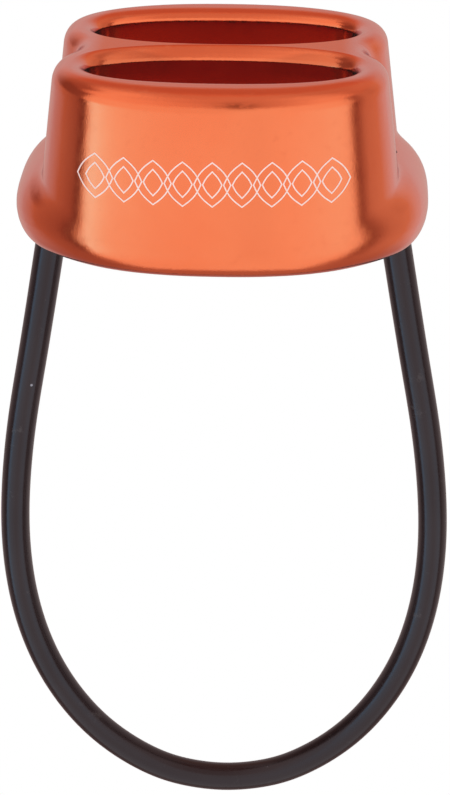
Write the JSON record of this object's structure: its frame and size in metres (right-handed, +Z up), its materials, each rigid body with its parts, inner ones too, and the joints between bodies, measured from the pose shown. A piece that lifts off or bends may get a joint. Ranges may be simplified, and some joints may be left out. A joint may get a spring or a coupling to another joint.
{
  "type": "belay device",
  "caption": "Tube-style belay device: paired rope slots through a rounded aluminium body on an oval flange, with a plastic-coated wire keeper loop hanging from the flange.",
  "frame": {"origin": "centre of the flat underside, midway between the rope slots, on the underside of the divider wall where the carabiner bears", "axes": "+Z up out of the rope slots' upper mouths, the keeper loop hangs along -Z; +X to the right across the width; -Y is the front face"},
  "size_m": [0.06, 0.0432, 0.1091],
  "materials": {
    "anodised_body": "polished, dyed orange anodised",
    "cable_jacket": "smooth semi-gloss black plastic coating",
    "wire_core": "bright drawn steel wire",
    "swaged_stop": "satin with die marks"
  },
  "bodies": {
    "device": {"belay_body": "anodised_body", "stop_left": "swaged_stop", "stop_right": "swaged_stop", "jacket_end_left": "cable_jacket", "jacket_end_right": "cable_jacket", "core_wire_end_left": "wire_core", "core_wire_end_right": "wire_core", "core_strands_end_left": "wire_core", "core_strands_end_right": "wire_core"},
    "keeper_legs": {"jacket_leg_left": "cable_jacket", "jacket_leg_right": "cable_jacket", "core_wire_leg_left": "wire_core", "core_wire_leg_right": "wire_core", "core_strands_leg_left": "wire_core", "core_strands_leg_right": "wire_core"},
    "keeper_bow": {"jacket_bow": "cable_jacket", "core_wire_bow": "wire_core", "core_strands_bow": "wire_core"}
  },
  "joints": [
    {"name": "keeper_swing", "type": "hinge", "parent": "device", "child": "keeper_legs", "pos_m": [0, 0, -0.0045], "axis": [1, 0, 0], "range_deg": [-90, 90], "stiffness_Nm_per_rad": 0.02},
    {"name": "keeper_curl", "type": "hinge", "parent": "keeper_legs", "child": "keeper_bow", "pos_m": [0, 0, -0.045], "axis": [1, 0, 0], "range_deg": [-60, 60], "stiffness_Nm_per_rad": 0.02}
  ]
}
